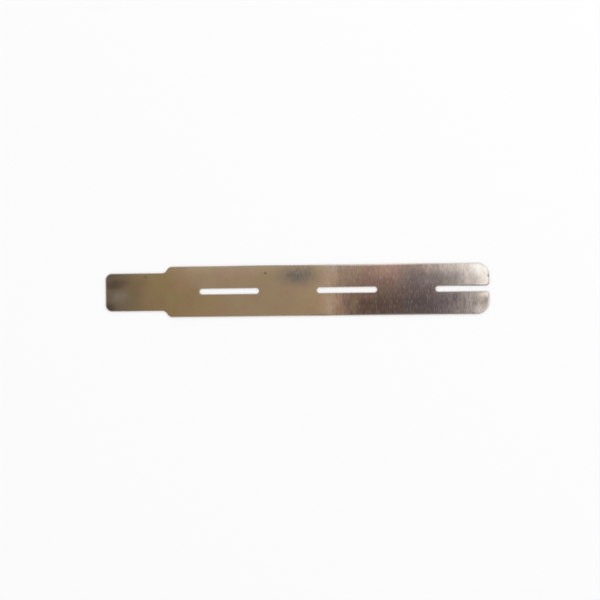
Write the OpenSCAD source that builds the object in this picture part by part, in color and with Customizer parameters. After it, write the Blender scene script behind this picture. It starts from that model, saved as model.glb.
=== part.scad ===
// Slotted welding strip for joining battery cells: one blank punched from thin
// nickel-plated sheet. It lies flat on the plane z = 0, with its narrow tab
// towards -X and its forked end towards +X. The origin is the middle of the
// underside. The punch has drawn the upper edges of the outline and of the
// slots down into a shallow roll, and the lower edges are left square.

/* [Strip] */
// Length over all
strip_l = 62; // [58:1:80]
// Width of the body
strip_w = 8; // [8:0.5:10]
// Thickness of the sheet
strip_t = 0.15; // [0.1:0.05:0.3]

/* [Tab] */
// Length of the narrow tab, to the middle of the shoulders
tab_l = 10.1; // [4:0.1:11]
// Width of the tab
tab_w = 6; // [4:0.2:6]
// Radius of the two corners at the tab's tip
tab_corner_r = 1; // [0.2:0.1:1.5]
// Length along the strip that the sloping shoulders take
shoulder_run = 0.75; // [0.6:0.05:1.2]
// Radius of the body's corners beside the tab
shoulder_corner_r = 0.9; // [0.2:0.1:0.9]
// Radius of the fillets between tab and body
shoulder_fillet_r = 0.9; // [0.2:0.1:0.9]

/* [Slots] */
// Number of closed slots
closed_slots = 2; // [1:1:2]
// Distance from slot to slot, which is that of the cells
slot_pitch = 19.05; // [17:0.05:20]
// Length of a closed slot over its round ends
slot_l = 9.7; // [6:0.1:12]
// Width of every slot
slot_w = 0.9; // [0.6:0.1:1.4]
// Depth of the open slot that forks the end
fork_depth = 8.5; // [5:0.1:10]

/* [Forked end] */
// Radius of the two outer corners
fork_corner_r = 2; // [0.5:0.1:2.2]
// Radius of the two corners at the slot's mouth
mouth_corner_r = 0.5; // [0.2:0.1:0.8]

/* [Punched edge] */
// How far the roll reaches in from the edge
roll_w = 0.08; // [0.04:0.01:0.12]
// How far the roll drops at the edge
roll_h = 0.03; // [0.02:0.01:0.05]

/* [Hidden] */
$fn = 96;

tip_x = -strip_l / 2;
tab_end_x = tip_x + tab_l - shoulder_run / 2;
body_start_x = tab_end_x + shoulder_run;
end_x = strip_l / 2;
fork_x = end_x - fork_depth;
slot_r = slot_w / 2;

// Share of a tangent roll's curvature, so that it meets the face at a clear angle
roll_bulge = 0.6;
roll_r = (roll_w ^ 2 + roll_h ^ 2) / (2 * roll_h * roll_bulge);

// Extra length by which a cut or a fillet passes the edge it meets
lap = 0.05;

// The two arcs of a slot's round end meet, so a straight shorter than this isn't one
least_straight = 0.001;

// An outline is a ring of sharp corners, each [x, y, radius], with the metal on
// the left of the way round.
BLANK = [
    [tip_x, -tab_w / 2, tab_corner_r],
    [tab_end_x, -tab_w / 2, shoulder_fillet_r],
    [body_start_x, -strip_w / 2, shoulder_corner_r],
    [end_x, -strip_w / 2, fork_corner_r],
    [end_x, -slot_r, mouth_corner_r],
    [fork_x, -slot_r, slot_r],
    [fork_x, slot_r, slot_r],
    [end_x, slot_r, mouth_corner_r],
    [end_x, strip_w / 2, fork_corner_r],
    [body_start_x, strip_w / 2, shoulder_corner_r],
    [tab_end_x, tab_w / 2, shoulder_fillet_r],
    [tip_x, tab_w / 2, tab_corner_r],
];

function slot_ring(x) = [
    [x, -slot_r, slot_r],
    [x, slot_r, slot_r],
    [x + slot_l, slot_r, slot_r],
    [x + slot_l, -slot_r, slot_r],
];

SLOTS = [for (i = [1 : closed_slots]) slot_ring(fork_x - i * slot_pitch)];

function point(corner) = [corner.x, corner.y];
function next(ring, i) = ring[(i + 1) % len(ring)];
function previous(ring, i) = ring[(i + len(ring) - 1) % len(ring)];
function heading(from, to) = atan2(to.y - from.y, to.x - from.x);
function heading_in(ring, i) = heading(previous(ring, i), ring[i]);
function heading_out(ring, i) = heading(ring[i], next(ring, i));

// How far the way round turns at a corner, to the left or, where negative, to the right
function turn(ring, i) =
    let (change = heading_out(ring, i) - heading_in(ring, i))
    change - 360 * round(change / 360);
function turns_left(ring, i) = turn(ring, i) > 0;

// How far before a sharp corner the arc that rounds it begins
function setback(r, angle) = r * tan(angle / 2);
function setback_at(ring, i) = setback(ring[i].z, abs(turn(ring, i)));
function straight_length(ring, i) =
    norm(point(next(ring, i)) - point(ring[i]))
        - setback_at(ring, i) - setback_at(ring, (i + 1) % len(ring));

// Places a shape at a corner that is entered along +X and turns to the left
module at_corner(ring, i) {
    translate(point(ring[i]))
        rotate(heading_in(ring, i))
            mirror([0, turns_left(ring, i) ? 0 : 1, 0])
                children();
}

// What lies between a sharp corner and the arc that rounds it
module corner_waste(r, angle) {
    back = setback(r, angle);
    across = [sin(angle), -cos(angle)];
    difference() {
        polygon([
            [-back, -lap],
            [setback(lap, angle), -lap],
            [-back, r] + (r + lap) * across,
            [-back, r],
        ]);
        translate([-back, r])
            circle(r);
    }
}

module corner_wastes(ring, left) {
    for (i = [0 : len(ring) - 1])
        if (turns_left(ring, i) == left)
            at_corner(ring, i)
                corner_waste(ring[i].z, abs(turn(ring, i)));
}

// The flat outline inside a ring of rounded corners, outer or inner
module rounded_outline(ring, outer) {
    difference() {
        union() {
            polygon([for (corner = ring) point(corner)]);
            corner_wastes(ring, !outer);
        }
        corner_wastes(ring, outer);
    }
}

// Section of what the roll takes away: x is outward from the edge, y is height
module roll_section() {
    chord = norm([roll_w, roll_h]);
    sagitta_arm = sqrt(roll_r ^ 2 - chord ^ 2 / 4);
    difference() {
        translate([-roll_w, strip_t - 2 * roll_h])
            square([roll_w + lap, 2 * roll_h + lap]);
        translate([-roll_w / 2, strip_t - roll_h / 2] - [roll_h, roll_w] * sagitta_arm / chord)
            circle(roll_r);
    }
}

module straight_roll(ring, i) {
    length = straight_length(ring, i);
    if (length > least_straight)
        translate(point(ring[i]))
            rotate(heading_out(ring, i))
                translate([setback_at(ring, i) + length, 0])
                    rotate([90, 0, -90])
                        linear_extrude(length)
                            roll_section();
}

module corner_roll(ring, i, convex) {
    r = ring[i].z;
    angle = abs(turn(ring, i));
    at_corner(ring, i)
        translate([-setback(r, angle), r])
            rotate(-90)
                rotate_extrude(angle = angle)
                    translate([r, 0])
                        mirror([convex ? 0 : 1, 0])
                            roll_section();
}

// All that the roll takes away along one ring
module rolled_edge(ring) {
    for (i = [0 : len(ring) - 1]) {
        straight_roll(ring, i);
        corner_roll(ring, i, turns_left(ring, i));
    }
}

module welding_strip() {
    color([0.66, 0.59, 0.48])
        difference() {
            linear_extrude(strip_t)
                difference() {
                    rounded_outline(BLANK, true);
                    for (slot = SLOTS)
                        rounded_outline(slot, false);
                }
            rolled_edge(BLANK);
            for (slot = SLOTS)
                rolled_edge(slot);
        }
}

welding_strip();
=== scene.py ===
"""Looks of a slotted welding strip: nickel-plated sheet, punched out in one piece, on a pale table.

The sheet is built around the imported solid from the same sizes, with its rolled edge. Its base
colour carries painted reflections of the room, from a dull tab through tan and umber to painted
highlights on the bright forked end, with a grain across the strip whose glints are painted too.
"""
import logging
import math
from dataclasses import dataclass, field
from enum import Enum
from typing import Any, Sequence

import bpy
from bpy.types import Material, Mesh, Node, NodeOutputs, NodeSocket, NodeTree, Object
from mathutils import Color, Matrix, Vector


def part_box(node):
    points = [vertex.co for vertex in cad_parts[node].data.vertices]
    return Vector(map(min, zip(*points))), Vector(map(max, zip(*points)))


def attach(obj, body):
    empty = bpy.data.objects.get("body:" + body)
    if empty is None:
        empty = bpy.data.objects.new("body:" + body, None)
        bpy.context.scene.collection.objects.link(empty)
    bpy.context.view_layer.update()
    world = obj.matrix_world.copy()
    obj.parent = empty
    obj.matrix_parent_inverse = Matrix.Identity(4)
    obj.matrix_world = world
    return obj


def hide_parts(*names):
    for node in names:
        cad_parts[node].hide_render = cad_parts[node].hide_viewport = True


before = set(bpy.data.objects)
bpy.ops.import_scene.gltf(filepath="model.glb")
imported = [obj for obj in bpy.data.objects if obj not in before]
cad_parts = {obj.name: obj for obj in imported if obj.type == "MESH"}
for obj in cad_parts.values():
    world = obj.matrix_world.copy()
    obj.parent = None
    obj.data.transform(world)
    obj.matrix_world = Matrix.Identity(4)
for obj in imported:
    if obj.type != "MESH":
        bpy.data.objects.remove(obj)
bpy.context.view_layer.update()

log = logging.getLogger("welding_strip")

MM = 0.001
STRIP_NODE = "welding_strip"
PLATE_SLOT = "nickel_plate"
MARK_GROUP = "soft_mark"

# The numbers that a mesh keeps for each of its points
CORNER_RADIUS = "corner_radius"
EDGE_MM = "edge_mm"
CUT_WALL = "cut_wall"

# Socket types of node groups
VECTOR = "NodeSocketVector"
NUMBER = "NodeSocketFloat"
GEOMETRY = "NodeSocketGeometry"

FULL_BYTE = 255
NOISE_MIDDLE = 0.5

# Share of a painted tone that comes back to the camera under this studio's light
STUDIO_SHARE = 0.965

# Share of their full radius that the two quarter turns of a slot's end have, so that a straight
# stays between them
NEARLY_FULL = 0.999

# Reach of a mark through the sheet in millimetres, so long that the height of a point hardly counts
MARK_DEPTH = 9.0

# A socket to link to an input, or the input's own plain value
Value = NodeSocket | float | Sequence[float]

# Inputs of a node by name or number, and what each of them takes
Inputs = dict[str | int, Any]

# Name and type of a socket of a node group
GroupSocket = tuple[str, str]


class Tone(Enum):
    """Tones painted on the plating, as sRGB hex, roughly in order from the tab to the forked end; most
    of them are painted reflections and highlights.
    """

    SOOT = "4b4031"
    DUSK = "62554a"
    ASH = "7a6e61"
    MOSS = "746349"
    BARK = "826c4e"
    TAN = "8a7454"
    FAWN = "917c61"
    KHAKI = "a08b73"
    BUFF = "988063"
    ROSEWOOD = "93755a"
    OLIVE = "86774f"
    SLATE = "6b635a"
    SAND = "a2876f"
    OAT = "a8937f"
    FALLOW = "8d715b"
    RUSSET = "796253"
    ROSE = "8c6c5e"
    BROWN = "644f44"
    RUST = "5b443b"
    PLUM = "4f4345"
    UMBER = "5a4840"
    CLAY = "95806d"
    ADOBE = "997c6e"
    BLUSH = "ac8a7d"
    HAZEL = "917c73"
    MAUVE = "5b4f4c"
    HEATHER = "64585a"
    TAUPE = "9c8780"
    DOVE = "7f746f"
    PEWTER = "9c928a"
    STONE = "b3a69d"
    MIST = "cdcdc8"
    SHELL = "dccfc6"
    IVORY = "f0e4da"
    CREAM = "f8f5ed"

    def paint(self) -> tuple[float, float, float, float]:
        """The base colour that renders as this tone in this studio.

        Returns:
            Red, green, blue and alpha in linear light, each at most one.
        """
        shares = [level / FULL_BYTE for level in bytes.fromhex(self.value)]
        levels = Color(shares).from_srgb_to_scene_linear()
        red, green, blue = (min(1.0, level / STUDIO_SHARE) for level in levels)
        return red, green, blue, 1.0


@dataclass(frozen=True)
class Step:
    """A smooth step: to_low at and before low, to_high at and after high."""

    low: float
    high: float
    to_low: float = 0.0
    to_high: float = 1.0


@dataclass(frozen=True)
class Lumps:
    """How coarse a noise is.

    Attributes:
        along: Lumps per millimetre along the strip.
        across: Lumps per millimetre across the strip.
        upward: Lumps per millimetre through its thickness.
        layers: How many finer layers there are.
        start: Where in the noise to begin, so that two noises differ.
    """

    along: float
    across: float
    upward: float = 0.0
    layers: float = 1.0
    start: float = 0.0


class Graph:
    """Adds nodes to a node tree and links them as they are added.

    A Mix node gives its sockets of every type the same names, so those for colours go by number.
    """

    MIX_SHARE = 0
    MIX_FIRST = 6
    MIX_SECOND = 7
    MIX_RESULT = 2

    def __init__(self, tree: NodeTree) -> None:
        """Takes the tree that the nodes go into."""
        self.tree = tree

    def add(self, kind: str, inputs: Inputs | None = None, **settings: Any) -> Node:
        """Adds one node.

        Args:
            kind: The node's type name.
            inputs: Input name or number to a socket to link or a plain value.
            **settings: Properties of the node itself.

        Returns:
            The new node.
        """
        node = self.tree.nodes.new(kind)
        for name, value in settings.items():
            setattr(node, name, value)
        for key, value in (inputs or {}).items():
            self.feed(node.inputs[key], value)
        return node

    def feed(self, socket: NodeSocket, value: Any) -> None:
        """Gives an input what it works on.

        Args:
            socket: The input.
            value: A socket to link to it, or the input's own plain value.
        """
        if isinstance(value, NodeSocket):
            self.tree.links.new(value, socket)
        else:
            socket.default_value = value

    def put(self, kind: str, inputs: Inputs | None = None, **settings: Any) -> NodeSocket:
        """Adds one node as add does, and returns its first output."""
        return self.add(kind, inputs, **settings).outputs[0]

    def use(self, group: NodeTree, inputs: Inputs) -> NodeOutputs:
        """Places a shader node group and returns its outputs."""
        return self.add("ShaderNodeGroup", inputs, node_tree=group).outputs

    def math(self, operation: str, *values: Value) -> NodeSocket:
        """One Math node on one to three values."""
        return self.put("ShaderNodeMath", dict(enumerate(values)), operation=operation)

    def vector_math(self, operation: str, *values: Value) -> NodeSocket:
        """One Vector Math node on one to three vectors, whose vector output is returned."""
        return self.put("ShaderNodeVectorMath", dict(enumerate(values)), operation=operation)

    def scaled(self, vector: NodeSocket, factor: Value) -> NodeSocket:
        """A vector times a number."""
        return self.put("ShaderNodeVectorMath", {0: vector, "Scale": factor}, operation="SCALE")

    def vector(self, **axes: Value) -> NodeSocket:
        """A vector from its X, Y and Z, where one that isn't given is zero."""
        return self.put("ShaderNodeCombineXYZ", axes)

    def axes(self, vector: NodeSocket) -> NodeOutputs:
        """The X, Y and Z of a vector."""
        return self.add("ShaderNodeSeparateXYZ", {"Vector": vector}).outputs

    def join(self, *parts: NodeSocket) -> NodeSocket:
        """One geometry out of several."""
        node = self.add("GeometryNodeJoinGeometry")
        for part in parts:
            self.feed(node.inputs["Geometry"], part)
        return node.outputs["Geometry"]

    def swing(self, noise: NodeSocket, reach: Value) -> NodeSocket:
        """A noise turned into one around zero, with a given reach to either side."""
        centred = self.math("SUBTRACT", noise, NOISE_MIDDLE)
        return self.math("MULTIPLY", centred, self.math("MULTIPLY", reach, 2.0))

    def progress(self, value: NodeSocket, low: float, high: float) -> NodeSocket:
        """How far a value has come on the way from low to high, from 0 to 1."""
        return self.put("ShaderNodeMapRange", {"Value": value, "From Min": low, "From Max": high})

    def ease(self, value: NodeSocket, step: Step) -> NodeSocket:
        """A smooth step that follows a value.

        Args:
            value: What the step follows.
            step: Where it begins and ends, and from what to what it goes.

        Returns:
            The stepped value's socket.
        """
        inputs = {
            "Value": value,
            "From Min": step.low,
            "From Max": step.high,
            "To Min": step.to_low,
            "To Max": step.to_high,
        }
        return self.put("ShaderNodeMapRange", inputs, interpolation_type="SMOOTHSTEP")

    def blend(self, share: Value, first: Value, second: Value, mode: str = "MIX") -> NodeSocket:
        """A colour between two colours.

        Args:
            share: How much of the second colour there is, from 0 to 1.
            first: The colour at share 0.
            second: The colour that is mixed in.
            mode: Blender's name of the way they mix.

        Returns:
            The mixed colour's socket.
        """
        inputs = {self.MIX_SHARE: share, self.MIX_FIRST: first, self.MIX_SECOND: second}
        node = self.add("ShaderNodeMix", inputs, data_type="RGBA", blend_type=mode, clamp_factor=True)
        return node.outputs[self.MIX_RESULT]

    def noise_outputs(self, place: NodeSocket, lumps: Lumps) -> NodeOutputs:
        """Noise as one number around a half, which is Fac, and as three of them, which is Color.

        Args:
            place: The place, in millimetres.
            lumps: How coarse the noise is.

        Returns:
            The outputs of the noise node.
        """
        density = (lumps.along, lumps.across, lumps.upward)
        start = (lumps.start, lumps.start, lumps.start)
        spread = self.vector_math("MULTIPLY_ADD", place, density, start)
        inputs = {"Vector": spread, "Scale": 1.0, "Detail": lumps.layers}
        return self.add("ShaderNodeTexNoise", inputs).outputs

    def noise(self, place: NodeSocket, lumps: Lumps) -> NodeSocket:
        """One number of noise, around a half."""
        return self.noise_outputs(place, lumps)["Fac"]


def new_group(
    name: str, kind: str, inputs: Sequence[GroupSocket], outputs: Sequence[GroupSocket]
) -> Graph:
    """Makes an empty node group with its named sockets.

    Args:
        name: The group's name.
        kind: GeometryNodeTree or ShaderNodeTree.
        inputs: Name and socket type of each input.
        outputs: Name and socket type of each output.

    Returns:
        A graph on the new group, with nothing in it.
    """
    tree = bpy.data.node_groups.new(name, kind)
    for direction, sockets in (("INPUT", inputs), ("OUTPUT", outputs)):
        for label, socket_type in sockets:
            tree.interface.new_socket(name=label, in_out=direction, socket_type=socket_type)
    return Graph(tree)


@dataclass(frozen=True)
class SheetSizes:
    """Sizes of the punched sheet in metres. Length, width and thickness come from the frame.

    Attributes:
        roll_reach: How far in from the edge the roll on the upper face reaches.
        roll_drop: How far the roll drops at the edge.
        roll_steps: How many straights the roll's section has.
        roll_power: How fast the roll levels out. A straight slope has 1.
        rim: How far in from the edge the section reaches that is swept along it.
        lower_ring: How far in the section has a point on the underside, between edge and rim.
        upper_ring: How far in it has one on the upper face, between roll and rim.
        arc_step: About how far apart the points on a rounded corner are.
        least_points: How many points a rounded corner has at least.
        weld: How near to each other points are made one.
    """

    length: float
    width: float
    thickness: float
    tab_length: float = 10.1 * MM
    tab_width: float = 6 * MM
    tab_corner: float = 1 * MM
    shoulder_run: float = 0.75 * MM
    shoulder_corner: float = 0.9 * MM
    shoulder_fillet: float = 0.9 * MM
    fork_corner: float = 2 * MM
    fork_depth: float = 8.5 * MM
    mouth_corner: float = 0.5 * MM
    slot_width: float = 0.9 * MM
    slot_length: float = 9.7 * MM
    slot_pitch: float = 19.05 * MM
    closed_slots: int = 2
    roll_reach: float = 0.08 * MM
    roll_drop: float = 0.03 * MM
    roll_steps: int = 7
    roll_power: float = 1.8
    rim: float = 0.3 * MM
    lower_ring: float = 0.1 * MM
    upper_ring: float = 0.18 * MM
    arc_step: float = 0.06 * MM
    least_points: int = 5
    weld: float = 0.001 * MM

    @classmethod
    def from_frame(cls, node: str) -> "SheetSizes":
        """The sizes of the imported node."""
        low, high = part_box(node)
        size = high - low
        return cls(length=size.x, width=size.y, thickness=size.z)

    @property
    def first_slot(self) -> float:
        """Where along the strip the middle of the closed slot nearest to the fork lies."""
        return self.length / 2 - self.fork_depth - self.slot_pitch + self.slot_length / 2

    def corners(self) -> list[tuple[float, float, float]]:
        """The blank's sharp corners.

        Returns:
            x, y and radius of each corner, anticlockwise seen from above.
        """
        tip = -self.length / 2
        tab_end = tip + self.tab_length - self.shoulder_run / 2
        body_start = tab_end + self.shoulder_run
        end = self.length / 2
        fork = end - self.fork_depth
        half = self.width / 2
        half_tab = self.tab_width / 2
        half_slot = self.slot_width / 2
        lower = [
            (tip, -half_tab, self.tab_corner),
            (tab_end, -half_tab, self.shoulder_fillet),
            (body_start, -half, self.shoulder_corner),
            (end, -half, self.fork_corner),
            (end, -half_slot, self.mouth_corner),
            (fork, -half_slot, half_slot * NEARLY_FULL),
        ]
        return lower + [(x, -y, radius) for x, y, radius in reversed(lower)]

    def section(self) -> list[tuple[float, float, float]]:
        """The section through the edge, from the upper face round to the underside.

        Returns:
            Distance in from the edge, height, and 1 on the cut wall or 0 off it, for each point.
        """
        wall_top = self.thickness - self.roll_drop
        points = [
            (self.rim, 0.0, 0.0),
            (self.lower_ring, 0.0, 0.0),
            (0.0, 0.0, 1.0),
            (0.0, wall_top / 2, 1.0),
            (0.0, wall_top, 1.0),
        ]
        for step in range(1, self.roll_steps + 1):
            share = step / self.roll_steps
            drop = self.roll_drop * (1 - share) ** self.roll_power
            points.append((self.roll_reach * share, self.thickness - drop, 0.0))
        points += [(self.upper_ring, self.thickness, 0.0), (self.rim, self.thickness, 0.0)]
        return points[::-1]


def keep_numbers(mesh: Mesh, name: str, numbers: Sequence[float]) -> None:
    """Keeps one number for each point of a mesh.

    Args:
        mesh: The mesh.
        name: The name that the numbers go by.
        numbers: The numbers in the order of the points.
    """
    attribute = mesh.attributes.new(name, "FLOAT", "POINT")
    attribute.data.foreach_set("value", numbers)


@dataclass
class PunchedSheet:
    """The strip itself: one blank with its slots, its cut walls and its rolled upper edge."""

    sizes: SheetSizes
    finish: Material
    name: str = "welding_strip_sheet"
    sharp_degrees: float = 30.0
    helpers: list[Object] = field(default_factory=list)

    def build(self) -> Object:
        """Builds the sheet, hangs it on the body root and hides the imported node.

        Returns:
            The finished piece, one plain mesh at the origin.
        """
        corners = self.sizes.corners()
        source = self.wire("blank_corners", [(x, y, 0.0) for x, y, _ in corners], closed=True)
        keep_numbers(source.data, CORNER_RADIUS, [radius for _, _, radius in corners])
        self.punch(source)
        piece = self.frozen(source)
        for helper in self.helpers:
            bpy.data.objects.remove(helper)
        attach(piece, "root")
        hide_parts(STRIP_NODE)
        return piece

    def wire(self, name: str, points: Sequence[Sequence[float]], closed: bool) -> Object:
        """An object of loose edges through some points.

        Args:
            name: The object's name.
            points: The points in order.
            closed: Whether the last point is joined to the first.

        Returns:
            The object, which is removed again once the sheet is built.
        """
        edges = [(i, i + 1) for i in range(len(points) - 1)]
        if closed:
            edges.append((len(points) - 1, 0))
        mesh = bpy.data.meshes.new(name)
        mesh.from_pydata(points, edges, [])
        wire = bpy.data.objects.new(name, mesh)
        bpy.context.scene.collection.objects.link(wire)
        self.helpers.append(wire)
        return wire

    def edge_section(self) -> Object:
        """The section that is swept along every edge.

        Returns:
            A wire whose x runs out of the metal and whose y runs down.
        """
        section = self.sizes.section()
        points = [(-inset, -height, 0.0) for inset, height, _ in section]
        wire = self.wire("edge_section", points, closed=False)
        keep_numbers(wire.data, EDGE_MM, [inset / MM for inset, _, _ in section])
        keep_numbers(wire.data, CUT_WALL, [on_wall for _, _, on_wall in section])
        return wire

    def punch(self, source: Object) -> None:
        """Puts the sheet's node tree on the blank's corners and sets its inputs.

        Args:
            source: The wire through the blank's corners.
        """
        tree = self.tree()
        modifier = source.modifiers.new("punch", "NODES")
        modifier.node_group = tree
        sizes = self.sizes
        values = {
            "Slots": sizes.closed_slots,
            "First Slot": sizes.first_slot,
            "Slot Pitch": sizes.slot_pitch,
            "Slot Length": sizes.slot_length,
            "Slot Width": sizes.slot_width,
            "Thickness": sizes.thickness,
            "Rim": sizes.rim,
            "Arc Step": sizes.arc_step,
            "Edge Section": self.edge_section(),
            "Finish": self.finish,
        }
        for item in tree.interface.items_tree:
            if item.in_out == "INPUT" and item.name in values:
                modifier[item.identifier] = values[item.name]

    def tree(self) -> NodeTree:
        """The node tree that rounds the corners, adds the slots, sweeps the edge and fills both faces.

        Returns:
            The tree, whose inputs are the sheet's sizes, its section and its finish.
        """
        inputs = [("Corners", GEOMETRY), ("Slots", "NodeSocketInt")]
        slot_lengths = ("First Slot", "Slot Pitch", "Slot Length", "Slot Width")
        inputs += [(name, NUMBER) for name in slot_lengths + ("Thickness", "Rim", "Arc Step")]
        inputs += [("Edge Section", "NodeSocketObject"), ("Finish", "NodeSocketMaterial")]
        graph = new_group("punched_sheet", "GeometryNodeTree", inputs, [("Sheet", GEOMETRY)])
        graph.tree.is_modifier = True
        given = graph.add("NodeGroupInput").outputs
        rings = self.rings(graph, given)
        section_object = graph.add("GeometryNodeObjectInfo", {"Object": given["Edge Section"]})
        section = graph.put("GeometryNodeMeshToCurve", {"Mesh": section_object.outputs["Geometry"]})
        swept = graph.put("GeometryNodeCurveToMesh", {"Curve": rings, "Profile Curve": section})
        upper = self.face(graph, given, rings, given["Thickness"])
        lower = graph.put("GeometryNodeFlipFaces", {"Mesh": self.face(graph, given, rings, 0.0)})
        whole = {"Geometry": graph.join(swept, upper, lower), "Distance": self.sizes.weld}
        welded = graph.put("GeometryNodeMergeByDistance", whole)
        real = graph.put("GeometryNodeRealizeInstances", {"Geometry": welded})
        dressed = graph.put("GeometryNodeSetMaterial", {"Geometry": real, "Material": given["Finish"]})
        graph.add("NodeGroupOutput", {"Sheet": dressed})
        return graph.tree

    def rings(self, graph: Graph, given: NodeOutputs) -> NodeSocket:
        """The rounded outlines of the blank and of the closed slots, each with the metal on its left.

        Args:
            graph: The tree under construction.
            given: The tree's inputs.

        Returns:
            The curves' socket.
        """
        radius = graph.put("GeometryNodeInputNamedAttribute", {"Name": CORNER_RADIUS}, data_type="FLOAT")
        corners = graph.put("GeometryNodeMeshToCurve", {"Mesh": given["Corners"]})
        blank = self.rounded(graph, given, corners, radius)
        sides = {"Width": given["Slot Length"], "Height": given["Slot Width"]}
        sharp_slot = graph.put("GeometryNodeCurvePrimitiveQuadrilateral", sides, mode="RECTANGLE")
        turned = graph.put("GeometryNodeReverseCurve", {"Curve": sharp_slot})
        end_radius = graph.math("MULTIPLY", given["Slot Width"], NEARLY_FULL / 2)
        slot = self.rounded(graph, given, turned, end_radius)
        start = graph.vector(X=given["First Slot"])
        step = graph.vector(X=graph.math("MULTIPLY", given["Slot Pitch"], -1.0))
        line = {"Count": given["Slots"], "Start Location": start, "Offset": step}
        row = graph.put("GeometryNodeMeshLine", line)
        placed = graph.put("GeometryNodeInstanceOnPoints", {"Points": row, "Instance": slot})
        slots = graph.put("GeometryNodeRealizeInstances", {"Geometry": placed})
        return graph.put("GeometryNodeSetCurveNormal", {"Curve": graph.join(blank, slots)}, mode="Z_UP")

    def rounded(
        self, graph: Graph, given: NodeOutputs, curve: NodeSocket, radius: NodeSocket
    ) -> NodeSocket:
        """Rounds a curve's corners, with points about an arc step apart.

        Args:
            graph: The tree under construction.
            given: The tree's inputs.
            curve: The curve of sharp corners.
            radius: The radius at each corner.

        Returns:
            The rounded curve's socket.
        """
        arc = graph.math("MULTIPLY", radius, math.pi / 2)
        wanted = graph.math("CEIL", graph.math("DIVIDE", arc, given["Arc Step"]))
        count = graph.math("MAXIMUM", wanted, self.sizes.least_points)
        inputs = {"Curve": curve, "Count": count, "Radius": radius, "Limit Radius": True}
        return graph.put("GeometryNodeFilletCurve", inputs, mode="POLY")

    def face(self, graph: Graph, given: NodeOutputs, rings: NodeSocket, height: Value) -> NodeSocket:
        """A flat face inside the rim, at a height.

        Args:
            graph: The tree under construction.
            given: The tree's inputs.
            rings: The outlines at the edge.
            height: The face's height.

        Returns:
            The face's socket, facing up.
        """
        inward = graph.math("MULTIPLY", given["Rim"], -1.0)
        shift = graph.scaled(graph.put("GeometryNodeInputNormal"), inward)
        inset = graph.put("GeometryNodeSetPosition", {"Geometry": rings, "Offset": shift})
        filled = graph.put("GeometryNodeFillCurve", {"Curve": inset}, mode="TRIANGLES")
        lift = graph.vector(Z=height)
        lifted = graph.put("GeometryNodeSetPosition", {"Geometry": filled, "Offset": lift})
        inset_mm = graph.math("DIVIDE", given["Rim"], MM)
        marks = {"Geometry": lifted, "Name": EDGE_MM, "Value": inset_mm}
        return graph.put("GeometryNodeStoreNamedAttribute", marks, data_type="FLOAT", domain="POINT")

    def frozen(self, source: Object) -> Object:
        """Turns the evaluated tree into a plain mesh of its own, with its sharp edges marked.

        Args:
            source: The wire that carries the tree.

        Returns:
            The piece, with no modifier left.
        """
        evaluated = bpy.context.evaluated_depsgraph_get()
        mesh = bpy.data.meshes.new_from_object(source.evaluated_get(evaluated), depsgraph=evaluated)
        mesh.name = self.name
        mesh.polygons.foreach_set("use_smooth", [True] * len(mesh.polygons))
        mesh.set_sharp_from_angle(angle=math.radians(self.sharp_degrees))
        piece = bpy.data.objects.new(self.name, mesh)
        bpy.context.scene.collection.objects.link(piece)
        return piece


# A mark is whole up to a tenth of its reach, and fades from there
MARK_FADE = Step(0.1, 1.0, 1.0, 0.0)


def soft_mark() -> NodeTree:
    """The shader node group of one soft-edged oval, which is built at its first use.

    Returns:
        A group whose Mask is 1 in the oval's middle and 0 at its reach.
    """
    if MARK_GROUP in bpy.data.node_groups:
        return bpy.data.node_groups[MARK_GROUP]
    inputs = [("Place", VECTOR), ("Centre", VECTOR), ("Reach", VECTOR)]
    graph = new_group(MARK_GROUP, "ShaderNodeTree", inputs, [("Mask", NUMBER)])
    given = graph.add("NodeGroupInput").outputs
    moved = graph.vector_math("SUBTRACT", given["Place"], given["Centre"])
    shares = graph.vector_math("DIVIDE", moved, given["Reach"])
    distance = graph.add("ShaderNodeVectorMath", {0: shares}, operation="LENGTH").outputs["Value"]
    graph.add("NodeGroupOutput", {"Mask": graph.ease(distance, MARK_FADE)})
    return graph.tree


@dataclass(frozen=True)
class Oval:
    """A soft-edged oval on the strip, in millimetres from its middle."""

    x: float
    y: float
    reach_x: float
    reach_y: float

    def mask(self, graph: Graph, place: NodeSocket) -> NodeSocket:
        """Where the oval is.

        Args:
            graph: The graph that the mask goes into.
            place: The place on the strip, in millimetres.

        Returns:
            The socket of a mask that is 1 in the oval's middle and 0 outside it.
        """
        centre = (self.x, self.y, 0.0)
        reach = (self.reach_x, self.reach_y, MARK_DEPTH)
        return graph.use(soft_mark(), {"Place": place, "Centre": centre, "Reach": reach})["Mask"]


@dataclass(frozen=True)
class ToneMark(Oval):
    """A soft-edged mark of one tone. One that has a rim reaches only that far in from the edges."""

    tone: Tone
    strength: float
    rim: float = 0.0


# Darker and lighter patches on the tab
TAB_PATCHES = (
    ToneMark(-30.0, 2.6, 2.2, 1.1, Tone.DUSK, 0.6),
    ToneMark(-29.5, 1.4, 2.9, 1.05, Tone.SOOT, 0.72),
    ToneMark(-30.5, 0.0, 0.9, 0.8, Tone.MOSS, 0.4),
    ToneMark(-28.6, -0.7, 2.3, 1.5, Tone.ASH, 0.8),
    ToneMark(-30.6, -2.5, 1.6, 1.2, Tone.SOOT, 0.9),
    ToneMark(-23.7, -0.8, 2.4, 3.0, Tone.ROSEWOOD, 0.2),
    ToneMark(-25.4, 1.7, 1.8, 1.4, Tone.MOSS, 0.25),
    ToneMark(-22.4, 1.5, 3.2, 2.3, Tone.OLIVE, 0.6),
    ToneMark(-24.6, 3.0, 5.0, 1.4, Tone.FAWN, 0.4),
    ToneMark(-28.5, -3.0, 3.0, 1.3, Tone.SOOT, 0.25),
    ToneMark(-28.2, -2.3, 2.4, 1.2, Tone.ASH, 0.2),
)
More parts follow.
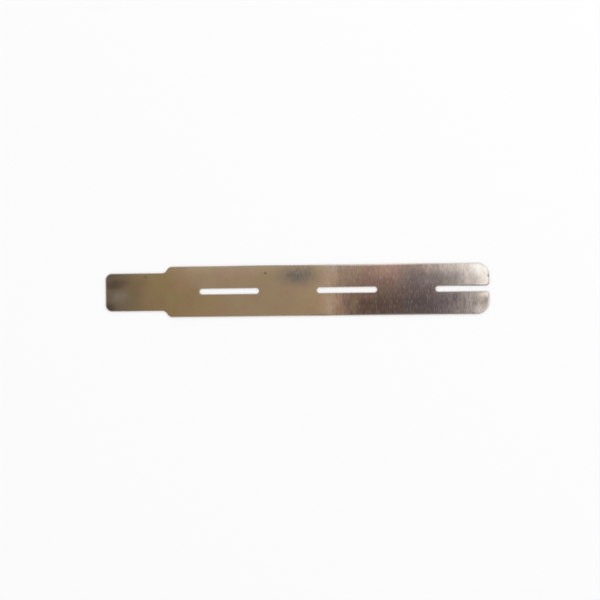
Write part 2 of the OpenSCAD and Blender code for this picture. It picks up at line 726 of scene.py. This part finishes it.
# Tints of the plating along the body, and a painted dark reflection above its middle
BODY_TINTS_AND_DARK_REFLECTION = (
    ToneMark(-18.6, 1.0, 2.0, 1.7, Tone.ROSEWOOD, 0.6),
    ToneMark(-20.3, -1.2, 1.2, 2.2, Tone.OLIVE, 0.55),
    ToneMark(-16.0, -1.8, 1.8, 1.5, Tone.OLIVE, 0.3),
    ToneMark(-14.0, 1.1, 3.6, 1.3, Tone.KHAKI, 0.3),
    ToneMark(-12.0, -2.0, 2.4, 1.8, Tone.ROSEWOOD, 0.3),
    # Painted dark reflection above the strip's middle, with two darker cores
    ToneMark(0.4, 2.4, 5.4, 2.4, Tone.SLATE, 0.68),
    ToneMark(0.4, 2.25, 2.5, 1.6, Tone.SLATE, 0.6),
    ToneMark(-0.7, 2.4, 0.8, 0.7, Tone.SOOT, 0.2),
    ToneMark(0.5, 2.1, 1.0, 0.9, Tone.SOOT, 0.18),
    ToneMark(-5.0, 2.2, 4.0, 1.2, Tone.OLIVE, 0.25),
)
# Painted reflections on the forked end: light bands, darker rose, umber, plum and grey zones, and
# painted highlights
FORK_PAINTED_REFLECTIONS = (
    ToneMark(6.0, 3.6, 1.6, 1.2, Tone.STONE, 0.3),
    ToneMark(5.6, -2.4, 1.0, 3.0, Tone.OAT, 0.45),
    ToneMark(11.0, 0.0, 3.0, 2.6, Tone.ROSE, 0.3),
    ToneMark(7.3, -2.4, 1.4, 1.9, Tone.ROSE, 0.35),
    ToneMark(9.6, -2.4, 1.0, 2.2, Tone.OLIVE, 0.3),
    ToneMark(11.4, -3.0, 2.2, 1.8, Tone.RUST, 0.6),
    ToneMark(16.6, -2.6, 1.3, 1.4, Tone.RUST, 0.6),
    ToneMark(19.5, -1.9, 3.0, 1.9, Tone.PLUM, 0.55),
    ToneMark(14.5, 1.2, 1.6, 1.5, Tone.BROWN, 0.2),
    ToneMark(19.5, -0.2, 4.5, 1.4, Tone.BROWN, 0.4),
    ToneMark(19.2, 1.9, 3.6, 1.9, Tone.SLATE, 0.3),
    ToneMark(20.8, 2.0, 1.2, 1.4, Tone.MAUVE, 0.4),
    ToneMark(20.9, 0.8, 5.0, 2.3, Tone.HEATHER, 0.65),
    ToneMark(22.9, 1.6, 5.5, 1.9, Tone.DOVE, 0.75),
    ToneMark(26.0, -3.2, 4.0, 1.9, Tone.PEWTER, 0.22),
    # Painted highlights at the ends of the tines
    ToneMark(30.0, 3.1, 2.5, 1.7, Tone.CREAM, 1.0),
    ToneMark(31.2, 1.6, 2.6, 2.0, Tone.IVORY, 1.0),
    ToneMark(30.1, 2.9, 1.6, 1.4, Tone.CREAM, 0.6),
    ToneMark(31.0, 1.4, 1.5, 1.6, Tone.CREAM, 0.35),
    ToneMark(30.4, 0.75, 2.6, 0.4, Tone.IVORY, 0.9),
    ToneMark(30.7, -0.8, 1.5, 0.7, Tone.IVORY, 0.8),
    ToneMark(29.65, -3.55, 2.1, 1.3, Tone.SHELL, 0.45),
    ToneMark(30.5, -1.9, 0.9, 0.45, Tone.PEWTER, 0.9),
)
SPECKS = (
    ToneMark(-24.4, 2.4, 0.4, 0.4, Tone.SOOT, 0.32),
    ToneMark(-11.1, 1.8, 0.25, 0.3, Tone.SOOT, 0.2),
    ToneMark(-4.85, 2.8, 0.3, 0.3, Tone.SOOT, 0.7),
    ToneMark(30.9, 1.95, 0.25, 0.4, Tone.SLATE, 0.8),
    ToneMark(28.5, -3.85, 0.4, 0.3, Tone.SLATE, 0.7),
)
# Painted highlights along the rolled edges, and darker lines along some of them
EDGE_HIGHLIGHTS_AND_DARK_LINES = (
    ToneMark(-31.2, 0.0, 1.6, 5.0, Tone.STONE, 0.35, 0.3),
    ToneMark(-7.0, 4.0, 10.0, 1.2, Tone.STONE, 0.4, 0.3),
    ToneMark(-6.0, 4.0, 8.5, 1.2, Tone.ASH, 0.9, 0.15),
    ToneMark(-3.0, -4.0, 6.0, 0.8, Tone.STONE, 0.5, 0.15),
    ToneMark(4.2, -4.0, 2.4, 0.8, Tone.ASH, 0.8, 0.3),
    ToneMark(17.0, -4.0, 13.0, 0.8, Tone.PEWTER, 0.6, 0.24),
    ToneMark(13.0, 4.0, 13.0, 1.6, Tone.SHELL, 0.7, 0.3),
    ToneMark(26.5, 3.8, 7.0, 2.6, Tone.MIST, 0.8, 0.2),
    ToneMark(31.0, -2.6, 2.0, 2.4, Tone.SHELL, 1.0, 0.3),
    ToneMark(28.6, 0.45, 3.6, 0.9, Tone.SLATE, 1.0, 0.2),
)


@dataclass(frozen=True)
class CrossGrain:
    """The fine grain that rolling and brushing left across the strip, whose glints are painted into the
    colour.

    Attributes:
        name: The name of its shader node group.
        lean: The noise that leans the grain to and fro.
        lean_reach: How far it leans to either side, in millimetres.
        streak: The noise of the fine streaks.
        dash: The noise of the short bright dashes, which are painted glints.
        dash_step: How high the noise of the dashes is where they begin and where they are whole.
        band: The noise of the broad bands of painted reflection.
        fray: The noise that frays the borders between the painted reflection tones.
        fray_reach: How far it frays them to either side, in millimetres.
        fork_side: Where along the strip the grain's painted glints set in, in millimetres from the
            middle.
        patch: The painted dark reflection, where the grain's painted glints show too.
    """

    name: str = "cross_grain"
    lean: Lumps = Lumps(0.4, 0.4, start=7.0)
    lean_reach: float = 0.25
    streak: Lumps = Lumps(5.5, 1.5)
    dash: Lumps = Lumps(5.5, 1.3, layers=0.0, start=40.0)
    dash_step: Step = Step(0.52, 0.76)
    band: Lumps = Lumps(1.3, 0.14, start=80.0)
    fray: Lumps = Lumps(2.2, 0.35, start=60.0)
    fray_reach: float = 2.2
    fork_side: Step = Step(2.5, 7.5)
    patch: Oval = Oval(1.0, 3.0, 3.4, 2.6)

    def group(self) -> NodeTree:
        """Builds the shader node group.

        Returns:
            A group with Streak and the broader Band, around a half; Dash, painted glints, from 0 to 1;
            Fray, how far it draws the painted tones along the strip, in millimetres; and Amount, how
            much glint there is.
        """
        outputs = [(name, NUMBER) for name in ("Streak", "Dash", "Band", "Fray", "Amount")]
        graph = new_group(self.name, "ShaderNodeTree", [("Place", VECTOR)], outputs)
        place = graph.put("NodeGroupInput")
        lean = graph.swing(graph.noise(place, self.lean), self.lean_reach)
        leaned = graph.vector_math("ADD", place, graph.vector(X=lean))
        streak = graph.noise(leaned, self.streak)
        dash = graph.ease(graph.noise(leaned, self.dash), self.dash_step)
        fork_side = graph.ease(graph.axes(place)["X"], self.fork_side)
        amount = graph.math("MAXIMUM", fork_side, self.patch.mask(graph, place))
        reach = graph.math("MULTIPLY", amount, self.fray_reach)
        broad = graph.swing(graph.noise(leaned, self.fray), reach)
        fray = graph.math("ADD", broad, graph.swing(streak, amount))
        band = graph.noise(leaned, self.band)
        results = {"Streak": streak, "Dash": dash, "Band": band, "Fray": fray, "Amount": amount}
        graph.add("NodeGroupOutput", results)
        return graph.tree


@dataclass(frozen=True)
class PaintedReflectionRuns:
    """The painted tones along the strip, reflections of the room painted together with the plating's
    tint: one run for its lower half and one for its upper edge.

    Attributes:
        length_mm: The strip's length in millimetres.
        wander: The noise that bends the borders between tones.
        wander_along: How far it bends them along the strip to either side, in millimetres.
        wander_across: How far it bends them across the strip to either side, in millimetres.
        upper_from: Where the upper run sets in, in millimetres across from the middle line.
        upper_full: Where it has taken over, in millimetres across from the middle line.
        steepness: The power of the way between, by millimetres along from the strip's middle.
        mottle: The noise that tints the tones.
        tints: The hues mixed in, and how much of each, by that noise.
        lower: Distance from the tab's tip in millimetres and the tone there, on the lower half.
        upper: The same on the upper edge.
    """

    length_mm: float
    wander: Lumps = Lumps(0.3, 0.3, layers=2.0)
    wander_along: float = 1.0
    wander_across: float = 0.8
    upper_from: float = -2.5
    upper_full: float = 3.9
    steepness: Step = Step(-8.0, 8.0, 3.6, 1.6)
    mottle: Lumps = Lumps(0.45, 0.45, layers=2.0, start=15.0)
    tints: tuple[tuple[Tone, Step], ...] = (
        (Tone.ROSE, Step(NOISE_MIDDLE, 0.7, 0.0, 0.28)),
        (Tone.OLIVE, Step(NOISE_MIDDLE, 0.3, 0.0, 0.28)),
    )
    # Painted reflections of the room along the strip, with the plating's tint; the upper edge's run is
    # lighter
    lower: tuple[tuple[float, Tone], ...] = (
        (0.0, Tone.DUSK),
        (4.5, Tone.MOSS),
        (8.0, Tone.BARK),
        (14.0, Tone.TAN),
        (22.0, Tone.FAWN),
        (29.0, Tone.FAWN),
        (34.4, Tone.BUFF),
        (36.7, Tone.SAND),
        (37.8, Tone.FALLOW),
        (39.3, Tone.RUSSET),
        (41.2, Tone.BROWN),
        (43.0, Tone.UMBER),
        (45.5, Tone.UMBER),
        (49.0, Tone.MAUVE),
        (51.8, Tone.MAUVE),
        (55.4, Tone.HEATHER),
        (57.7, Tone.DOVE),
        (60.0, Tone.PEWTER),
        (61.7, Tone.STONE),
    )
    upper: tuple[tuple[float, Tone], ...] = (
        (0.0, Tone.DUSK),
        (3.8, Tone.MOSS),
        (6.5, Tone.BARK),
        (9.5, Tone.TAN),
        (13.5, Tone.KHAKI),
        (34.0, Tone.KHAKI),
        (36.4, Tone.OAT),
        (39.0, Tone.CLAY),
        (42.0, Tone.ADOBE),
        (46.5, Tone.BLUSH),
        (49.0, Tone.HAZEL),
        (51.8, Tone.TAUPE),
        (54.2, Tone.STONE),
        (57.7, Tone.SHELL),
        (60.7, Tone.IVORY),
    )

    def colour(self, graph: Graph, place: NodeSocket, fray: NodeSocket) -> NodeSocket:
        """Builds the painted reflection tones.

        Args:
            graph: The material's graph.
            place: The place on the strip, in millimetres.
            fray: How far the grain draws the tones along the strip, in millimetres.

        Returns:
            The tone's socket.
        """
        wander = graph.noise(place, self.wander)
        axes = graph.axes(place)
        drawn = graph.math("ADD", graph.swing(wander, self.wander_along), fray)
        along = graph.math("ADD", axes["X"], drawn)
        share = graph.progress(along, -self.length_mm / 2, self.length_mm / 2)
        across = graph.math("ADD", axes["Y"], graph.swing(wander, self.wander_across))
        lower = self.run(graph, share, self.lower)
        upper = self.run(graph, share, self.upper)
        rise = graph.progress(across, self.upper_from, self.upper_full)
        power = graph.ease(axes["X"], self.steepness)
        tone = graph.blend(graph.math("POWER", rise, power), lower, upper)
        mottle = graph.noise(place, self.mottle)
        for tint, step in self.tints:
            tone = graph.blend(graph.ease(mottle, step), tone, tint.paint(), "HUE")
        return tone

    def run(self, graph: Graph, share: NodeSocket, stops: tuple[tuple[float, Tone], ...]) -> NodeSocket:
        """One run of tones along the strip.

        Args:
            graph: The material's graph.
            share: The share of the strip's length from the tab's tip.
            stops: Distance from the tab's tip in millimetres, and the tone there.

        Returns:
            The run's colour socket.
        """
        node = graph.add("ShaderNodeValToRGB", {"Fac": share})
        elements = node.color_ramp.elements
        anywhere = 0.5
        while len(elements) < len(stops):
            elements.new(anywhere)
        for element, (distance, tone) in zip(elements, stops):
            element.position = distance / self.length_mm
            element.color = tone.paint()
        return node.outputs["Color"]


@dataclass(frozen=True)
class NickelWithPaintedReflections:
    """Rolled nickel plating: its painted reflection tones, painted highlights and dark reflections, its
    marks, its grain with painted glints, its painted edge sheen, and its metal sheen.

    Attributes:
        runs: The painted reflection tones along the strip.
        grain: The grain across it.
        top: The heights in millimetres between which the marks of the upper face set in.
        stray: The noise that makes the marks ragged.
        stray_reach: How far it moves their edges from one side to the other, in millimetres.
        streak_reach: How far the streaks' painted glints lighten and darken, by how much grain there is.
        band_reach: How far the painted reflection bands lighten and darken, where the grain is full.
        dash_strength: How much of the dashes' painted glint tone shows, where the grain is full.
        edge_sheen: How much painted pale sheen the burnished rolled edge shows, by the distance in from
            it in millimetres.
        rim_core: The share of a mark's rim in which it has its full strength.
        scoring: The noise of the scored cut wall.
        scored: How much grey the wall shows, by that noise.
        roughness: The roughness in the middle of the grain.
        roughness_reach: How far the grain takes it up and down.
        relief: How strongly the grain's relief turns the light.
        relief_depth: The grain's depth in metres.
    """

    runs: PaintedReflectionRuns
    grain: CrossGrain = CrossGrain()
    top: Step = Step(0.02, 0.1)
    stray: Lumps = Lumps(0.5, 0.5, 0.5, layers=2.0)
    stray_reach: float = 1.6
    streak_reach: Step = Step(0.0, 1.0, 0.03, 0.26)
    band_reach: float = 0.16
    dash_strength: float = 0.085
    edge_sheen: Step = Step(0.05, 0.12, 0.7, 0.0)
    rim_core: float = 1 / 3
    scoring: Lumps = Lumps(6.0, 6.0, 1.0, layers=2.0)
    scored: Step = Step(0.35, 0.65, 0.3, 0.6)
    roughness: float = 0.3
    roughness_reach: float = 0.08
    relief: float = 0.6
    relief_depth: float = 0.0015 * MM

    def material(self) -> Material:
        """Builds the material.

        Returns:
            The finished material.
        """
        material = bpy.data.materials.new(PLATE_SLOT)
        material.use_nodes = True
        material.node_tree.nodes.clear()
        graph = Graph(material.node_tree)
        place = graph.scaled(graph.add("ShaderNodeTexCoord").outputs["Object"], 1 / MM)
        grain = graph.use(self.grain.group(), {"Place": place})
        tone = self.runs.colour(graph, place, grain["Fray"])
        tone = self.top_marks(graph, place, tone)
        tone = self.painted_glints(graph, tone, grain)
        tone = self.edged(graph, place, tone)
        graph.add("ShaderNodeOutputMaterial", {"Surface": self.shader(graph, grain, tone)})
        return material

    def top_marks(self, graph: Graph, place: NodeSocket, tone: NodeSocket) -> NodeSocket:
        """Lays the tab's patches, the body's tints, the painted reflections and highlights, and the
        specks over the tones, on the upper face only.

        Args:
            graph: The material's graph.
            place: The place on the strip, in millimetres.
            tone: The tone under the marks.

        Returns:
            The tone with its marks.
        """
        on_top = graph.ease(graph.axes(place)["Z"], self.top)
        middle = (NOISE_MIDDLE, NOISE_MIDDLE, NOISE_MIDDLE)
        drift = graph.vector_math("SUBTRACT", graph.noise_outputs(place, self.stray)["Color"], middle)
        moved = graph.vector_math("MULTIPLY", drift, (self.stray_reach, self.stray_reach, 0.0))
        ragged = graph.vector_math("ADD", place, moved)
        for mark in TAB_PATCHES + BODY_TINTS_AND_DARK_REFLECTION + FORK_PAINTED_REFLECTIONS:
            tone = self.marked(graph, ragged, tone, mark, on_top)
        for mark in SPECKS:
            tone = self.marked(graph, place, tone, mark, on_top)
        return tone

    def marked(
        self, graph: Graph, place: NodeSocket, tone: NodeSocket, mark: ToneMark, where: NodeSocket
    ) -> NodeSocket:
        """Lays one mark over the tones.

        Args:
            graph: The material's graph.
            place: The place on the strip, in millimetres.
            tone: The tone under the mark.
            mark: The mark.
            where: A mask of the parts that the mark may lie on.

        Returns:
            The tone with the mark.
        """
        mask = graph.math("MULTIPLY", mark.mask(graph, place), mark.strength)
        return graph.blend(graph.math("MULTIPLY", mask, where), tone, mark.tone.paint())

    def painted_glints(self, graph: Graph, tone: NodeSocket, grain: NodeOutputs) -> NodeSocket:
        """Paints the grain's glints: lightens and darkens the tones with its streaks and bands, and lays
        its bright dashes.

        Args:
            graph: The material's graph.
            tone: The tone under the grain.
            grain: The grain's outputs.

        Returns:
            The tone with its grain.
        """
        amount = grain["Amount"]
        streak = graph.swing(grain["Streak"], graph.ease(amount, self.streak_reach))
        band = graph.swing(grain["Band"], graph.math("MULTIPLY", amount, self.band_reach))
        lift = graph.math("ADD", graph.math("ADD", 1.0, band), streak)
        dashes = graph.math("MULTIPLY", grain["Dash"], amount)
        shown = graph.math("MULTIPLY", dashes, self.dash_strength)
        # Painted glints: the dashes' pale tone and the lift of the streaks and bands
        return graph.scaled(graph.blend(shown, tone, Tone.SHELL.paint()), lift)

    def edged(self, graph: Graph, place: NodeSocket, tone: NodeSocket) -> NodeSocket:
        """Paints a pale sheen on the rolled edge, greys the cut wall, and lays the painted edge
        highlights and dark lines.

        Args:
            graph: The material's graph.
            place: The place on the strip, in millimetres.
            tone: The tone of the faces.

        Returns:
            The tone with its edges.
        """
        inset = graph.add("ShaderNodeAttribute", attribute_name=EDGE_MM).outputs["Fac"]
        wall = graph.add("ShaderNodeAttribute", attribute_name=CUT_WALL).outputs["Fac"]
        # Painted pale sheen on the burnished rolled edge
        tone = graph.blend(graph.ease(inset, self.edge_sheen), tone, Tone.STONE.paint())
        for mark in EDGE_HIGHLIGHTS_AND_DARK_LINES:
            near_edge = graph.ease(inset, Step(mark.rim * self.rim_core, mark.rim, 1.0, 0.0))
            tone = self.marked(graph, place, tone, mark, near_edge)
        scored = graph.ease(graph.noise(place, self.scoring), self.scored)
        return graph.blend(graph.math("MULTIPLY", wall, scored), tone, Tone.DOVE.paint())

    def shader(self, graph: Graph, grain: NodeOutputs, tone: NodeSocket) -> NodeSocket:
        """The metal itself, with its grain in roughness and relief.

        Args:
            graph: The material's graph.
            grain: The grain's outputs.
            tone: The base colour.

        Returns:
            The shader's socket.
        """
        streak = grain["Streak"]
        rough = graph.math("ADD", self.roughness, graph.swing(streak, self.roughness_reach))
        relief = {"Strength": self.relief, "Distance": self.relief_depth, "Height": streak}
        bump = graph.put("ShaderNodeBump", relief)
        inputs = {"Base Color": tone, "Metallic": 1.0, "Roughness": rough, "Normal": bump}
        return graph.put("ShaderNodeBsdfPrincipled", inputs)


@dataclass(frozen=True)
class Table:
    """The pale table that the strip lies on, a hair below it so that the two faces don't meet."""

    half_size: float = 1.2
    gap: float = 0.01 * MM
    white: float = 0.97
    roughness: float = 0.9

    def build(self) -> Object:
        """Builds the table top.

        Returns:
            The table's object.
        """
        half = self.half_size
        mesh = bpy.data.meshes.new("table_top")
        corners = [(-half, -half, 0), (half, -half, 0), (half, half, 0), (-half, half, 0)]
        mesh.from_pydata(corners, [], [(0, 1, 2, 3)])
        top = bpy.data.objects.new("table_top", mesh)
        top.location.z = -self.gap
        bpy.context.scene.collection.objects.link(top)
        mesh.materials.append(self.material())
        return top

    def material(self) -> Material:
        """Matt white paper.

        Returns:
            The finished material.
        """
        material = bpy.data.materials.new("table_paper")
        material.use_nodes = True
        shader = material.node_tree.nodes["Principled BSDF"]
        shader.inputs["Base Color"].default_value = (self.white, self.white, self.white, 1.0)
        shader.inputs["Roughness"].default_value = self.roughness
        shader.inputs["Specular IOR Level"].default_value = 0.0
        return material


@dataclass(frozen=True)
class Lamp:
    """One square lamp that faces the strip.

    Attributes:
        name: The lamp's name.
        place: Where it stands, in metres.
        size: The side of the square, in metres.
        power: Its power in watts.
    """

    name: str
    place: tuple[float, float, float]
    size: float
    power: float

    def build(self) -> Object:
        """Adds the lamp.

        Returns:
            The lamp's object.
        """
        data = bpy.data.lights.new(self.name, "AREA")
        data.size = self.size
        data.energy = self.power
        lamp = bpy.data.objects.new(self.name, data)
        lamp.location = self.place
        lamp.rotation_euler = Vector(self.place).to_track_quat("Z", "Y").to_euler()
        lamp.visible_camera = False
        bpy.context.scene.collection.objects.link(lamp)
        return lamp


@dataclass(frozen=True)
class Studio:
    """Soft light from all round, a little stronger from the back, and one large lamp.

    Attributes:
        surround: The level of the light from the sides.
        back_share: The share by which the back is stronger and the front weaker.
        window: The lamp.
    """

    surround: float = 0.96
    back_share: float = 0.25
    window: Lamp = Lamp("window_lamp", place=(0.24, 0.24, 0.22), size=0.25, power=0.15)

    def build(self) -> None:
        """Sets the world and the lamp."""
        world = bpy.data.worlds.new("studio")
        bpy.context.scene.world = world
        world.use_nodes = True
        world.node_tree.nodes.clear()
        graph = Graph(world.node_tree)
        direction = graph.add("ShaderNodeTexCoord").outputs["Generated"]
        backward = graph.axes(direction)["Y"]
        level = graph.math("MULTIPLY_ADD", backward, self.back_share * self.surround, self.surround)
        white = {"Color": (1.0, 1.0, 1.0, 1.0), "Strength": level}
        background = graph.put("ShaderNodeBackground", white)
        graph.add("ShaderNodeOutputWorld", {"Surface": background})
        self.window.build()


@dataclass(frozen=True)
class Viewpoint:
    """The photographer's camera: nearly overhead, and a little towards the forked end.

    Attributes:
        yaw: How far the camera leans towards the forked end, in degrees.
        roll: How far the picture is turned, in degrees.
        distance: How far the camera stands from the strip, in metres.
        shift_x: How far to the right of the picture's middle the strip's middle is seen, in metres.
        shift_y: How far above the picture's middle it is seen, in metres.
        lens: The focal length in millimetres.
        sensor: The width of the sensor in millimetres.
        near: Where the view begins, in metres.
        far: Where the view ends, in metres.
    """

    yaw: float = 12.45
    roll: float = 0.655
    distance: float = 0.633
    shift_x: float = -0.706 * MM
    shift_y: float = 1.51 * MM
    lens: float = 240.5
    sensor: float = 36.0
    near: float = 0.01
    far: float = 10.0

    def build(self) -> Object:
        """Places the camera and makes it the scene's own.

        Returns:
            The camera's object.
        """
        roll = Matrix.Rotation(math.radians(self.roll), 4, "Z")
        yaw = Matrix.Rotation(-math.radians(self.yaw), 4, "Y")
        in_view = Matrix.Translation((-self.shift_x, -self.shift_y, self.distance))
        data = bpy.data.cameras.new("camera")
        data.lens = self.lens
        data.sensor_width = self.sensor
        data.clip_start = self.near
        data.clip_end = self.far
        camera = bpy.data.objects.new("camera", data)
        camera.matrix_world = (roll @ yaw).inverted() @ in_view
        bpy.context.scene.collection.objects.link(camera)
        bpy.context.scene.camera = camera
        return camera


def main() -> None:
    """Builds the view, the light, the table and the strip, in that order."""
    logging.basicConfig(level=logging.INFO, format="%(name)s: %(message)s")
    bpy.context.scene.view_settings.view_transform = "Standard"
    Viewpoint().build()
    Studio().build()
    Table().build()
    log.info("view, light and table are in place")
    sizes = SheetSizes.from_frame(STRIP_NODE)
    finish = NickelWithPaintedReflections(PaintedReflectionRuns(length_mm=sizes.length / MM))
    sheet = PunchedSheet(sizes, finish.material()).build()
    log.info("%s: %d faces on body root", sheet.name, len(sheet.data.polygons))


if __name__ == "__main__":
    main()
